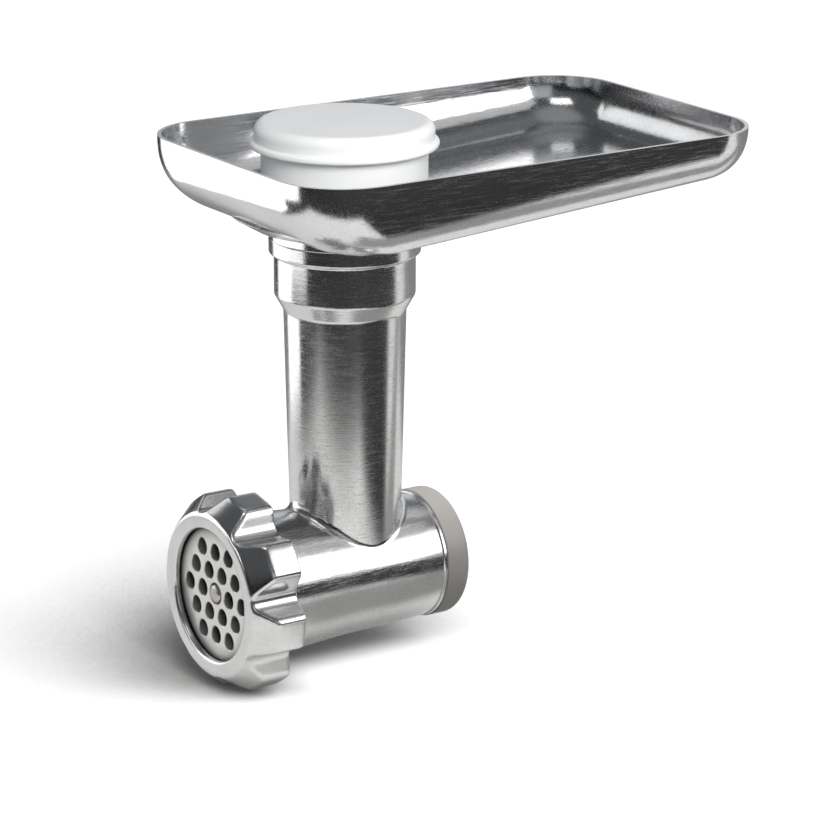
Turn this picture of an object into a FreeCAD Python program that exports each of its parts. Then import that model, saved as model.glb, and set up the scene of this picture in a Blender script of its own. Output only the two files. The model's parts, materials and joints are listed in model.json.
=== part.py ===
import FreeCAD
import Part
import math
import os

# Mincer head for a kitchen machine: a cast body with feed tube, an auger with cutter and perforated plate,
# a lobed screw ring, a pressed feed tray and a hollow pusher with its lid.
#
# Millimetres. The origin is the centre of the drive socket's mouth, on the barrel axis. +X points out of the
# socket, -X towards the screw ring, and +Z up along the feed tube.

Vector = FreeCAD.Vector

# Clearances
turning_gap = 0.3
running_gap = 0.05
fixed_gap = 0.05
sliding_gap = 0.3
cutting_gap = 0.1
blade_gap = 0.6
stem_gap = 0.8
stem_stop_gap = 18.3
neck_end_gap = 2.3
pin_gap = 0.2

# Barrel of the cast body, along X
barrel_behind_tube = 30.7
barrel_ahead_of_tube = 55.2
barrel_rear_r = 23.8
barrel_rear_wall = 2.8
barrel_tube_swell = 1.0
barrel_rear_curve = 17.0
barrel_rear_swell = 0.9
bead_width = 1.6
bead_stand = 0.5
bead_round = 0.4
thread_length = 13.0
thread_wall = 2.15
thread_step = 1.9
thread_chamfer = 1.0
thread_runout = 1.5
plate_shoulder = 1.45
chamber_step = 2.6
bulkhead_thickness = 7.0

# Feed tube of the cast body, along Z
tube_bottom_r = 20.4
tube_top_r = 22.9
tube_top_z = 101.6
tube_bottom_wall = 1.8
tube_bore_draft = 0.6
tube_blend = 3.2
collar_cone_height = 6.0
collar_step = 3.4
collar_height = 21.8
collar_wall = 2.1
collar_rim_stand = 1.9
collar_rim_height = 6.8
collar_rim_step = 1.0
collar_socket_depth = 20.0
cast_round = 2.5
cast_edge_round = 0.8

# Rear hub
hub_length = 10.4
hub_wall = 5.6
hub_web = 3.0
hub_rear_round = 3.0
hub_front_round = 0.6
socket_r = 19.0
guide_groove_count = 3
guide_groove_width = 6.0
guide_groove_depth = 2.0
hub_screw_count = 3
hub_screw_r = 1.5
hub_screw_head_r = 2.7
hub_screw_head_height = 1.4
hub_screw_length = 9.0

# Rear bearing
shaft_r = 6.0
bush_wall = 2.5
bush_flange_step = 3.5
bush_flange_thickness = 1.2
seal_length = 2.0
washer_step = 1.0
washer_thickness = 1.0
clip_stand = 2.4
clip_thickness = 0.8
clip_mouth = 7.0
clip_groove_depth = 0.7
clip_land = 1.2

# Auger and its steel ends
auger_core_wall = 1.7
auger_core_taper = 2.2
flight_pitch = 21.0
flight_root_width = 7.0
flight_tip_width = 3.6
stud_r = 5.0
stud_length = 20.0
stud_square = 8.0
stud_pin_r = 3.5
stud_pin_proud = 0.9
stud_tip_round = 1.6
shaft_in_auger = 18.0
shaft_square = 8.0
shaft_hex = 9.0
shaft_hex_length = 5.0

# Drive coupling
coupling_r = 10.5
coupling_lug_height = 1.5
coupling_lug_count = 6
coupling_lug_width = 4.0
coupling_end_wall = 1.0
coupling_screw_r = 2.0
coupling_screw_length = 9.0
coupling_screw_head_r = 3.8
coupling_screw_head_height = 1.4
coupling_washer_thickness = 0.5

# Cutter blade
blade_thickness = 6.0
blade_hub_r = 9.0
blade_arm_count = 4
blade_arm_base_width = 9.0
blade_arm_back_width = 4.0
blade_arm_sweep = 3.0

# Perforated plate
plate_r = 26.75
plate_thickness = 6.0
plate_stands_out = 2.0
plate_hole_r = 3.25
plate_hole_pitch = 9.3
plate_hole_rings = 2
plate_hole_chamfer = 0.3
plate_centre_chamfer = 0.6
key_pin_r = 1.2
key_pin_setback = 2.0
key_pin_reach = 1.4
key_slot_depth = 1.8

# Screw ring
ring_length = 20.3
ring_lip = 3.3
ring_plate_lap = 1.65
ring_opening_chamfer = 0.6
ring_front_land = 1.5
ring_lobe_count = 8
ring_wall = 1.8
ring_lobe_height = 6.5
ring_crest_angle = 20.0
ring_crest_round = 3.0
ring_valley_angle = 7.0
ring_valley_round = 4.0
ring_bevel_length = 8.5
ring_first_lobe_angle = -12.0
ring_rear_chamfer = 0.8

# Feed tray
tray_length = 202.3
tray_width = 131.0
tray_front_overhang = 52.4
tray_corner_r = 26.0
tray_sheet = 1.6
tray_depth = 29.0
tray_wall_flare = 1.5
tray_wall_share = 0.14
tray_floor_rise = 4.0
tray_floor_corner_r = 12.0
tray_side_round = 18.0
tray_front_round = 36.0
tray_rear_round = 10.0
tray_turn_step = 18.0
tray_seat_depth = 0.8
tray_seat_flare = 60.0
tray_foot_height = 4.3

# Pusher
pusher_head_r = 30.8
pusher_head_height = 34.7
pusher_head_wall = 2.2
pusher_head_floor = 2.5
pusher_seat_gap = 1.8
pusher_stem_wall = 2.0
pusher_edge_round = 1.5

# Pusher lid
lid_height = 9.5
lid_wall = 2.2
lid_top_thickness = 2.5
lid_lip_stand = 1.6
lid_lip_height = 2.6
lid_edge_round = 3.6
lid_lip_round = 1.1

# Radii about the barrel axis, outwards from the shaft and from the plate
bush_r = shaft_r + bush_wall
bush_flange_r = bush_r + bush_flange_step
washer_r = bush_flange_r - washer_step
clip_groove_r = shaft_r - clip_groove_depth
clip_r = shaft_r + clip_stand
auger_core_rear_r = clip_r + sliding_gap + auger_core_wall
auger_core_front_r = auger_core_rear_r + auger_core_taper
coupling_lug_r = coupling_r + coupling_lug_height
pocket_r = coupling_lug_r + turning_gap
hub_r = socket_r + hub_wall
hub_screw_circle_r = (pocket_r + socket_r) / 2
barrel_tube_r = barrel_rear_r + barrel_tube_swell
barrel_shoulder_r = barrel_rear_r + barrel_rear_swell
bead_r = barrel_rear_r + bead_stand
bore_rear_r = barrel_rear_r - barrel_rear_wall
plate_seat_r = plate_r + sliding_gap
knife_chamber_r = plate_seat_r - plate_shoulder
blade_r = knife_chamber_r - blade_gap
bore_front_r = knife_chamber_r - chamber_step
thread_r = plate_seat_r + thread_wall
barrel_front_r = thread_r - thread_step
ring_bore_r = thread_r + turning_gap
ring_opening_r = plate_r - ring_plate_lap
ring_front_r = ring_bore_r + ring_front_land
ring_valley_r = ring_bore_r + ring_wall
ring_crest_r = ring_valley_r + ring_lobe_height

# Radii about the feed tube's axis
tube_bore_bottom_r = tube_bottom_r - tube_bottom_wall
tube_bore_top_r = tube_bore_bottom_r + tube_bore_draft
collar_r = tube_top_r + collar_step
collar_rim_r = collar_r + collar_rim_stand
collar_socket_r = collar_r - collar_wall
tray_neck_r = collar_socket_r - sliding_gap
tray_neck_bore_r = tray_neck_r - tray_sheet
tray_seat_r = pusher_head_r + pusher_seat_gap
pusher_stem_r = tube_bore_bottom_r - stem_gap
lid_bore_r = pusher_head_r + sliding_gap
lid_r = lid_bore_r + lid_wall
lid_lip_r = lid_r + lid_lip_stand

# Stations along the barrel axis
barrel_rear_x = -hub_length
tube_x = barrel_rear_x - barrel_behind_tube
barrel_front_x = tube_x - barrel_ahead_of_tube
chamber_rear_x = tube_x + tube_bore_bottom_r
pocket_front_x = chamber_rear_x + bulkhead_thickness
plate_front_x = barrel_front_x - plate_stands_out
plate_rear_x = plate_front_x + plate_thickness
blade_front_x = plate_rear_x + cutting_gap
blade_rear_x = blade_front_x + blade_thickness
auger_front_x = blade_rear_x + cutting_gap
washer_rear_x = chamber_rear_x - bush_flange_thickness
auger_rear_x = washer_rear_x - washer_thickness
clip_rear_x = auger_rear_x - fixed_gap
clip_front_x = clip_rear_x - clip_thickness
journal_front_x = clip_front_x - clip_land
ring_front_x = plate_front_x - ring_lip
ring_rear_x = ring_front_x + ring_length
bead_front_x = barrel_rear_x - bead_width
shoulder_x = bead_front_x - barrel_rear_curve
web_rear_x = barrel_rear_x + hub_web
shaft_rear_x = pocket_front_x + shaft_hex_length
coupling_seat_x = shaft_rear_x + coupling_end_wall
coupling_head_x = coupling_seat_x + coupling_washer_thickness
coupling_rear_x = coupling_head_x + coupling_screw_head_height
stud_tip_x = plate_front_x - stud_pin_proud

# Levels along the feed tube
collar_base_z = tube_top_z + collar_cone_height
collar_top_z = collar_base_z + collar_height
collar_rim_z = collar_top_z - collar_rim_height
collar_socket_z = collar_top_z - collar_socket_depth
neck_foot_z = collar_socket_z + neck_end_gap
stem_foot_z = bore_front_r + stem_stop_gap
tray_foot_z = collar_top_z + tray_foot_height
tray_seat_z = tray_foot_z + tray_sheet
tray_floor_z = tray_foot_z + tray_seat_depth
tray_rim_z = tray_floor_z + tray_depth
pusher_rim_z = tray_seat_z + pusher_head_height
lid_top_z = pusher_rim_z + lid_top_thickness
lid_bottom_z = lid_top_z - lid_height

barrel_axis = Vector(1, 0, 0)
tube_axis = Vector(0, 0, 1)
barrel_centre = Vector(0, 0, 0)
tube_foot = Vector(tube_x, 0, 0)


def along_barrel(x, r):
    """A point of a profile that is turned about the barrel axis, drawn below it."""
    return Vector(x, 0, -r)


def along_tube(r, z):
    """A point of a profile that is turned about the feed tube's axis."""
    return Vector(tube_x + r, 0, z)


def rounded_outline(corners, place):
    """Closed wire through (u, v, round) corners, with a tangent arc of that radius at each rounded corner."""
    count = len(corners)
    points = [place(u, v) for u, v, _ in corners]
    starts = []
    middles = []
    ends = []
    for index in range(count):
        corner = points[index]
        radius = corners[index][2]
        back = (points[index - 1] - corner).normalize()
        ahead = (points[(index + 1) % count] - corner).normalize()
        half = back.getAngle(ahead) / 2
        inward = (back + ahead).normalize() if radius else Vector()
        reach = radius / math.tan(half) if radius else 0.0
        starts.append(corner + back * reach)
        ends.append(corner + ahead * reach)
        middles.append(corner + inward * (radius / math.sin(half) - radius))
    edges = []
    for index in range(count):
        edges.append(Part.LineSegment(ends[index - 1], starts[index]).toShape())
        if corners[index][2]:
            edges.append(Part.Arc(starts[index], middles[index], ends[index]).toShape())
    return Part.Wire(edges)


def outward(solid):
    """The solid with its faces pointing outwards."""
    return solid if solid.Volume > 0 else solid.reversed()


def turned_on_barrel(corners):
    """Solid of revolution about the barrel axis from (x, r, round) corners."""
    face = Part.Face(rounded_outline(corners, along_barrel))
    return outward(face.revolve(barrel_centre, barrel_axis, 360))


def turned_on_tube(corners):
    """Solid of revolution about the feed tube's axis from (r, z, round) corners."""
    face = Part.Face(rounded_outline(corners, along_tube))
    return outward(face.revolve(tube_foot, tube_axis, 360))


def barrel_cylinder(r, x_from, x_to, y=0.0, z=0.0):
    """Cylinder parallel to the barrel axis."""
    return Part.makeCylinder(r, x_to - x_from, Vector(x_from, y, z), barrel_axis)


def barrel_tube(outer_r, inner_r, x_from, x_to):
    """Ring on the barrel axis."""
    return barrel_cylinder(outer_r, x_from, x_to).cut(barrel_cylinder(inner_r, x_from, x_to))


def around_barrel(shape, count, first_angle=0.0):
    """Copies of a shape at equal angles about the barrel axis."""
    copies = []
    for index in range(count):
        copy = shape.copy()
        copy.rotate(barrel_centre, barrel_axis, first_angle + index * 360.0 / count)
        copies.append(copy)
    return copies


def hexagon_bar(across_flats, x_from, x_to):
    """Hexagonal bar on the barrel axis."""
    corner_r = across_flats / math.sqrt(3)
    corners = []
    for index in range(6):
        angle = math.radians(60 * index)
        corners.append(Vector(x_from, corner_r * math.cos(angle), corner_r * math.sin(angle)))
    face = Part.Face(Part.makePolygon(corners + corners[:1]))
    return outward(face.extrude(Vector(x_to - x_from, 0, 0)))


def square_bar(side, x_from, x_to):
    """Square bar on the barrel axis."""
    return Part.makeBox(x_to - x_from, side, side, Vector(x_from, -side / 2, -side / 2))


def export(name, shape):
    """Write one named piece."""
    shape.exportStep("parts/" + name + ".step")


def barrel_blank():
    """Outside of the barrel: a taper that rounds in at the rear, its end bead and the threaded end."""
    taper_x = barrel_front_x + thread_length
    front = along_barrel(taper_x, barrel_front_r)
    rear = along_barrel(bead_front_x, barrel_rear_r)
    swept = Part.BSplineCurve()
    waist = along_barrel(tube_x, barrel_tube_r)
    shoulder = along_barrel(shoulder_x, barrel_shoulder_r)
    rear_fall = Vector(barrel_rear_curve, 0, 2 * barrel_rear_swell)
    swept.interpolate([front, waist, shoulder, rear], InitialTangent=waist - front, FinalTangent=rear_fall)
    front_axis = along_barrel(taper_x, 0)
    rear_axis = along_barrel(bead_front_x, 0)
    outline = Part.Wire(
        [
            swept.toShape(),
            Part.LineSegment(rear, rear_axis).toShape(),
            Part.LineSegment(rear_axis, front_axis).toShape(),
            Part.LineSegment(front_axis, front).toShape(),
        ]
    )
    taper = outward(Part.Face(outline).revolve(barrel_centre, barrel_axis, 360))
    bead = turned_on_barrel(
        [
            (bead_front_x, 0, 0),
            (bead_front_x, bead_r, bead_round),
            (barrel_rear_x, bead_r, bead_round),
            (barrel_rear_x, 0, 0),
        ]
    )
    thread = turned_on_barrel(
        [
            (barrel_front_x, 0, 0),
            (barrel_front_x, thread_r - thread_chamfer, 0),
            (barrel_front_x + thread_chamfer, thread_r, 0),
            (taper_x, thread_r, 0),
            (taper_x + thread_runout, barrel_front_r - thread_runout, 0),
            (taper_x + thread_runout, 0, 0),
        ]
    )
    return taper, bead, thread


def feed_tube_blank():
    """Outside of the feed tube with its stepped collar."""
    return turned_on_tube(
        [
            (0, 0, 0),
            (tube_bottom_r, 0, 0),
            (tube_top_r, tube_top_z, cast_round),
            (collar_r, collar_base_z, cast_round),
            (collar_r, collar_rim_z, cast_edge_round),
            (collar_rim_r, collar_rim_z + collar_rim_step, cast_edge_round),
            (collar_rim_r, collar_top_z, cast_edge_round),
            (0, collar_top_z, 0),
        ]
    )


def grinder_body():
    """Casting with the barrel, the feed tube, the throat between them and the rear bulkhead."""
    taper, bead, thread = barrel_blank()
    blank = taper.fuse(feed_tube_blank())
    curved = [edge for edge in blank.Edges if isinstance(edge.Curve, Part.BSplineCurve)]
    joints = [edge for edge in curved if edge.BoundBox.ZMin > 0]
    blank = blank.makeFillet(tube_blend, joints).fuse([bead, thread])
    chamber = turned_on_barrel(
        [
            (chamber_rear_x, 0, 0),
            (chamber_rear_x, bore_rear_r, 0),
            (auger_front_x, bore_front_r, 0),
            (auger_front_x, knife_chamber_r, 0),
            (plate_rear_x, knife_chamber_r, 0),
            (plate_rear_x, plate_seat_r, 0),
            (ring_front_x, plate_seat_r, 0),
            (ring_front_x, 0, 0),
        ]
    )
    throat = turned_on_tube(
        [
            (0, 0, 0),
            (tube_bore_bottom_r, 0, 0),
            (tube_bore_top_r, collar_socket_z, 0),
            (collar_socket_r, collar_socket_z, 0),
            (collar_socket_r, tray_rim_z, 0),
            (0, tray_rim_z, 0),
        ]
    )
    cuts = [
        chamber,
        throat,
        barrel_cylinder(bush_r + fixed_gap, chamber_rear_x - bush_flange_thickness, pocket_front_x),
        barrel_cylinder(pocket_r, pocket_front_x, barrel_rear_x),
        key_pin_form(key_pin_r + fixed_gap, thread_r),
    ]
    cuts += around_barrel(hub_screw_shank(hub_screw_r + fixed_gap), hub_screw_count)
    body = blank
    for cut in cuts:
        body = body.cut(cut)
    return body.removeSplitter()


def key_pin_form(r, top_z):
    """Radial pin through the barrel wall at the plate seat."""
    foot = Vector(barrel_front_x + key_pin_setback, 0, plate_seat_r - key_pin_reach)
    return Part.makeCylinder(r, top_z - foot.z, foot, tube_axis)


def plate_key_pin():
    """Pin that stands in the plate seat, flush below the thread."""
    return key_pin_form(key_pin_r, thread_r - thread_chamfer)


def hub_screw_shank(r):
    """Shank of one hub screw, in its place above the barrel axis."""
    return barrel_cylinder(r, web_rear_x - hub_screw_length, web_rear_x, z=hub_screw_circle_r)


def hub_screw_form(gap):
    """One countersunk hub screw, grown by a gap for its hole."""
    neck_x = web_rear_x - hub_screw_head_height
    head = Part.makeCone(
        hub_screw_r + gap,
        hub_screw_head_r + gap,
        hub_screw_head_height,
        Vector(neck_x, 0, hub_screw_circle_r),
        barrel_axis,
    )
    return head.fuse(hub_screw_shank(hub_screw_r + gap)).removeSplitter()


def hub_screws():
    """Three countersunk screws that hold the hub on the casting."""
    return Part.makeCompound(around_barrel(hub_screw_form(0.0), hub_screw_count))


def rear_hub():
    """Plastic socket behind the barrel with a web, a round bore and three guide grooves."""
    hub = turned_on_barrel(
        [
            (barrel_rear_x, pocket_r, 0),
            (barrel_rear_x, hub_r, hub_front_round),
            (0, hub_r, hub_rear_round),
            (0, socket_r, 0),
            (web_rear_x, socket_r, 0),
            (web_rear_x, pocket_r, 0),
        ]
    )
    groove = Part.makeBox(
        -web_rear_x,
        guide_groove_width,
        socket_r + guide_groove_depth,
        Vector(web_rear_x, -guide_groove_width / 2, 0),
    )
    inside = barrel_cylinder(socket_r, web_rear_x, 0)
    half_turn = 180.0
    for cut in around_barrel(groove.cut(inside), guide_groove_count, half_turn):
        hub = hub.cut(cut)
    for cut in around_barrel(hub_screw_form(fixed_gap), hub_screw_count):
        hub = hub.cut(cut)
    return hub


def rear_bearing_bush():
    """Flanged bush pressed into the bulkhead."""
    bore_r = shaft_r + running_gap
    return turned_on_barrel(
        [
            (washer_rear_x, bore_r, 0),
            (washer_rear_x, bush_flange_r, 0),
            (chamber_rear_x, bush_flange_r, 0),
            (chamber_rear_x, bush_r, 0),
            (pocket_front_x - seal_length, bush_r, 0),
            (pocket_front_x - seal_length, bore_r, 0),
        ]
    )


def shaft_seal():
    """Seal ring behind the bush."""
    return barrel_tube(bush_r, shaft_r + running_gap, pocket_front_x - seal_length, pocket_front_x)


def thrust_washer():
    """Washer between the auger's shoulder and the bush."""
    return barrel_tube(washer_r, shaft_r + running_gap, auger_rear_x, washer_rear_x)


def shaft_clip():
    """Open spring clip in the shaft's groove that keeps the shaft in its bush."""
    ring = barrel_tube(clip_r, clip_groove_r + fixed_gap, clip_front_x, clip_rear_x)
    mouth = Part.makeBox(clip_thickness, clip_mouth, clip_r, Vector(clip_front_x, -clip_mouth / 2, 0))
    return ring.cut(mouth)


def auger_flight():
    """Helical flight, trimmed to the tapered bore."""
    length = auger_rear_x - auger_front_x
    root_r = auger_core_rear_r / 2
    tip_r = bore_front_r + turning_gap
    path = Part.makeHelix(flight_pitch, length, auger_core_rear_r)
    section = Part.makePolygon(
        [
            Vector(root_r, 0, -flight_root_width / 2),
            Vector(tip_r, 0, -flight_tip_width / 2),
            Vector(tip_r, 0, flight_tip_width / 2),
            Vector(root_r, 0, flight_root_width / 2),
            Vector(root_r, 0, -flight_root_width / 2),
        ]
    )
    flight = outward(path.makePipeShell([section], True, True))
    flight.rotate(barrel_centre, Vector(0, 1, 0), 90)
    flight.translate(Vector(auger_front_x, 0, 0))
    reach = turned_on_barrel(
        [
            (auger_rear_x, 0, 0),
            (auger_rear_x, bore_rear_r - turning_gap, 0),
            (auger_front_x, bore_front_r - turning_gap, 0),
            (auger_front_x, 0, 0),
        ]
    )
    return flight.common(reach)


def auger():
    """Feed screw: a core that thickens towards the cutter, with one long flight."""
    core = turned_on_barrel(
        [
            (auger_rear_x, 0, 0),
            (auger_rear_x, auger_core_rear_r, 0),
            (auger_front_x, auger_core_front_r, 0),
            (auger_front_x, 0, 0),
        ]
    )
    screw = core.fuse(auger_flight())
    cuts = [
        barrel_cylinder(stud_r + fixed_gap, auger_front_x, auger_front_x + stud_length),
        barrel_cylinder(clip_r + sliding_gap, journal_front_x - sliding_gap, auger_rear_x),
        square_bar(shaft_square + 2 * fixed_gap, auger_rear_x - shaft_in_auger, auger_rear_x),
    ]
    for cut in cuts:
        screw = screw.cut(cut)
    return screw


def auger_front_stud():
    """Steel stud: round in the auger, square in the cutter, and a round-nosed pin in the plate."""
    pin = turned_on_barrel(
        [
            (stud_tip_x, 0, 0),
            (stud_tip_x, stud_pin_r, stud_tip_round),
            (blade_front_x, stud_pin_r, 0),
            (blade_front_x, 0, 0),
        ]
    )
    square = square_bar(stud_square, blade_front_x, auger_front_x)
    shank = barrel_cylinder(stud_r, auger_front_x, auger_front_x + stud_length)
    return pin.fuse([square, shank]).removeSplitter()


def drive_shaft():
    """Steel shaft: square in the auger, round in the bush with a clip groove, hexagonal in the coupling."""
    square = square_bar(shaft_square, auger_rear_x - shaft_in_auger, journal_front_x)
    journal = barrel_cylinder(shaft_r, journal_front_x, pocket_front_x)
    hexagon = hexagon_bar(shaft_hex, pocket_front_x, shaft_rear_x)
    groove = barrel_tube(shaft_r, clip_groove_r, clip_front_x - fixed_gap, clip_rear_x + fixed_gap)
    screw_end_x = coupling_head_x - coupling_screw_length
    hole = barrel_cylinder(coupling_screw_r + fixed_gap, screw_end_x, shaft_rear_x)
    return journal.fuse([square, hexagon]).cut(groove).cut(hole).removeSplitter()


def drive_coupling():
    """Plastic driver with six lugs, a hexagonal socket and a recess for its screw and washer."""
    lug = Part.makeBox(
        coupling_rear_x - pocket_front_x,
        coupling_lug_width,
        coupling_lug_r,
        Vector(pocket_front_x, -coupling_lug_width / 2, 0),
    )
    reach = barrel_cylinder(coupling_lug_r, pocket_front_x, coupling_rear_x)
    driver = barrel_cylinder(coupling_r, pocket_front_x, coupling_rear_x)
    driver = driver.fuse([copy.common(reach) for copy in around_barrel(lug, coupling_lug_count)])
    driver = driver.cut(hexagon_bar(shaft_hex + 2 * fixed_gap, pocket_front_x, shaft_rear_x))
    driver = driver.cut(barrel_cylinder(coupling_screw_r + fixed_gap, shaft_rear_x, coupling_seat_x))
    recess = barrel_cylinder(coupling_screw_head_r + fixed_gap, coupling_seat_x, coupling_rear_x)
    return driver.cut(recess).removeSplitter()


def coupling_washer():
    """Flat washer under the head of the coupling screw."""
    hole_r = coupling_screw_r + fixed_gap
    return barrel_tube(coupling_screw_head_r, hole_r, coupling_seat_x, coupling_head_x)


def coupling_screw():
    """Screw on the shaft's axis that holds the coupling."""
    head = barrel_cylinder(coupling_screw_head_r, coupling_head_x, coupling_rear_x)
    shank = barrel_cylinder(coupling_screw_r, coupling_head_x - coupling_screw_length, coupling_head_x)
    return head.fuse(shank).removeSplitter()


def blade_arm_outline(x, lead, trail):
    """Outline of one arm across the barrel axis, between its leading and trailing edges."""
    return Part.makePolygon(
        [
            Vector(x, lead, 0),
            Vector(x, lead + blade_arm_sweep, blade_r),
            Vector(x, trail + blade_arm_sweep, blade_r),
            Vector(x, trail, 0),
            Vector(x, lead, 0),
        ]
    )


def cutter_blade():
    """Four swept arms, keen at the plate and narrow at the back, on a hub with a square hole."""
    lead = blade_arm_base_width / 2
    front = blade_arm_outline(blade_front_x, lead, lead - blade_arm_base_width)
    back = blade_arm_outline(blade_rear_x, lead, lead - blade_arm_back_width)
    arm = outward(Part.makeLoft([front, back], True, True))
    arm = arm.common(barrel_cylinder(blade_r, blade_front_x, blade_rear_x))
    hub = barrel_cylinder(blade_hub_r, blade_front_x, blade_rear_x)
    blade = hub.fuse(around_barrel(arm, blade_arm_count))
    return blade.cut(square_bar(stud_square + 2 * fixed_gap, blade_front_x, blade_rear_x)).removeSplitter()


def plate_hole_centres():
    """Hexagonal grid of hole centres with level rows, without the centre."""
    centres = []
    for row in range(-plate_hole_rings, plate_hole_rings + 1):
        holes_in_row = 2 * plate_hole_rings + 1 - abs(row)
        for index in range(holes_in_row):
            y = (index - (holes_in_row - 1) / 2) * plate_hole_pitch
            z = row * plate_hole_pitch * math.sqrt(3) / 2
            if row or abs(y) > plate_hole_r:
                centres.append((y, z))
    return centres


def perforated_plate():
    """Steel plate with its holes, a bearing hole for the stud and a slot for the key pin."""

    def circle(r, y=0.0, z=0.0):
        return Part.Wire(Part.makeCircle(r, Vector(plate_front_x, y, z), barrel_axis))

    def countersink(r, chamfer, y=0.0, z=0.0):
        return Part.makeCone(r + chamfer, r, chamfer, Vector(plate_front_x, y, z), barrel_axis)

    centre_r = stud_pin_r + pin_gap
    wires = [circle(plate_r), circle(centre_r)]
    wires += [circle(plate_hole_r, y, z) for y, z in plate_hole_centres()]
    face = Part.makeFace(wires, "Part::FaceMakerBullseye")
    plate = outward(face.extrude(Vector(plate_thickness, 0, 0)))
    plate = plate.cut(countersink(centre_r, plate_centre_chamfer))
    for y, z in plate_hole_centres():
        plate = plate.cut(countersink(plate_hole_r, plate_hole_chamfer, y, z))
    slot_width = 2 * (key_pin_r + sliding_gap)
    slot = Part.makeBox(
        plate_thickness,
        slot_width,
        2 * key_slot_depth,
        Vector(plate_front_x, -slot_width / 2, plate_r - key_slot_depth),
    )
    return plate.cut(slot)


def lobed_outline(x):
    """Closed outline of the ring's grip: flat crests with rounded corners, joined by hollow valleys."""
    step = 360.0 / ring_lobe_count
    corners = []
    for index in range(ring_lobe_count):
        crest = ring_first_lobe_angle + index * step
        valley = crest + step / 2
        corners.append((crest - ring_crest_angle / 2, ring_crest_r, ring_crest_round))
        corners.append((crest + ring_crest_angle / 2, ring_crest_r, ring_crest_round))
        corners.append((valley - ring_valley_angle / 2, ring_valley_r, ring_valley_round))
        corners.append((valley + ring_valley_angle / 2, ring_valley_r, ring_valley_round))

    def place(angle, r):
        turn = math.radians(angle)
        return Vector(x, -r * math.cos(turn), r * math.sin(turn))

    return rounded_outline(corners, place)


def screw_ring():
    """Ring nut: a lobed grip with a conical front, an opening for the plate and a threaded bore."""
    grip = outward(Part.Face(lobed_outline(ring_front_x)).extrude(Vector(ring_length, 0, 0)))
    bevel = turned_on_barrel(
        [
            (ring_front_x, 0, 0),
            (ring_front_x, ring_front_r, 0),
            (ring_front_x + ring_bevel_length, ring_crest_r, 0),
            (ring_rear_x - ring_rear_chamfer, ring_crest_r, 0),
            (ring_rear_x, ring_crest_r - ring_rear_chamfer, 0),
            (ring_rear_x, 0, 0),
        ]
    )
    bore = turned_on_barrel(
        [
            (ring_front_x, 0, 0),
            (ring_front_x, ring_opening_r + ring_opening_chamfer, 0),
            (ring_front_x + ring_opening_chamfer, ring_opening_r, 0),
            (plate_front_x, ring_opening_r, 0),
            (plate_front_x, ring_bore_r, 0),
            (ring_rear_x, ring_bore_r, 0),
            (ring_rear_x, 0, 0),
        ]
    )
    return grip.common(bevel).cut(bore)


def tray_outline(front_x, rear_x, half_width, corner_r, place):
    """Rounded rectangle about the tube's plane, with each of its points put in place."""
    corners = [
        (front_x, -half_width, corner_r),
        (rear_x, -half_width, corner_r),
        (rear_x, half_width, corner_r),
        (front_x, half_width, corner_r),
    ]
    return rounded_outline(corners, place)


def tray_section(inset, turn):
    """Outline of the tray where its wall has turned so many degrees towards the floor, drawn in by an inset.

    The rim is level and the floor rises to the rear, so each outline lies in a plane between those two.
    """
    in_share = 1 - math.cos(math.radians(turn))
    down_share = tray_wall_share + (1 - tray_wall_share) * math.sin(math.radians(turn))
    wall_inset = inset + tray_depth * down_share * math.tan(math.radians(tray_wall_flare))
    corner_r = tray_corner_r - inset + (tray_floor_corner_r - tray_corner_r) * in_share
    front_x = tube_x - tray_front_overhang + wall_inset + tray_front_round * in_share
    rear_x = tube_x - tray_front_overhang + tray_length - wall_inset - tray_rear_round * in_share
    half_width = tray_width / 2 - wall_inset - tray_side_round * in_share

    def place(x, y):
        floor_z = tray_floor_z + inset + (x - tube_x) * math.tan(math.radians(tray_floor_rise))
        return Vector(x, y, tray_rim_z - down_share * (tray_rim_z - floor_z))

    return tray_outline(front_x, rear_x, half_width, corner_r, place)


def tray_rim(inset):
    """Outline of the tray's rim, drawn in by an inset."""
    front_x = tube_x - tray_front_overhang + inset
    rear_x = tube_x - tray_front_overhang + tray_length - inset

    def place(x, y):
        return Vector(x, y, tray_rim_z)

    return tray_outline(front_x, rear_x, tray_width / 2 - inset, tray_corner_r - inset, place)


def tray_form(inset):
    """Solid form of the tray, drawn in by an inset: a level rim and walls that turn in to a sloping floor."""
    steps = round(90 / tray_turn_step)
    outlines = [tray_rim(inset)]
    outlines += [tray_section(inset, 90.0 * step / steps) for step in range(steps + 1)]
    return outward(Part.makeLoft(outlines, True))


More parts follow.
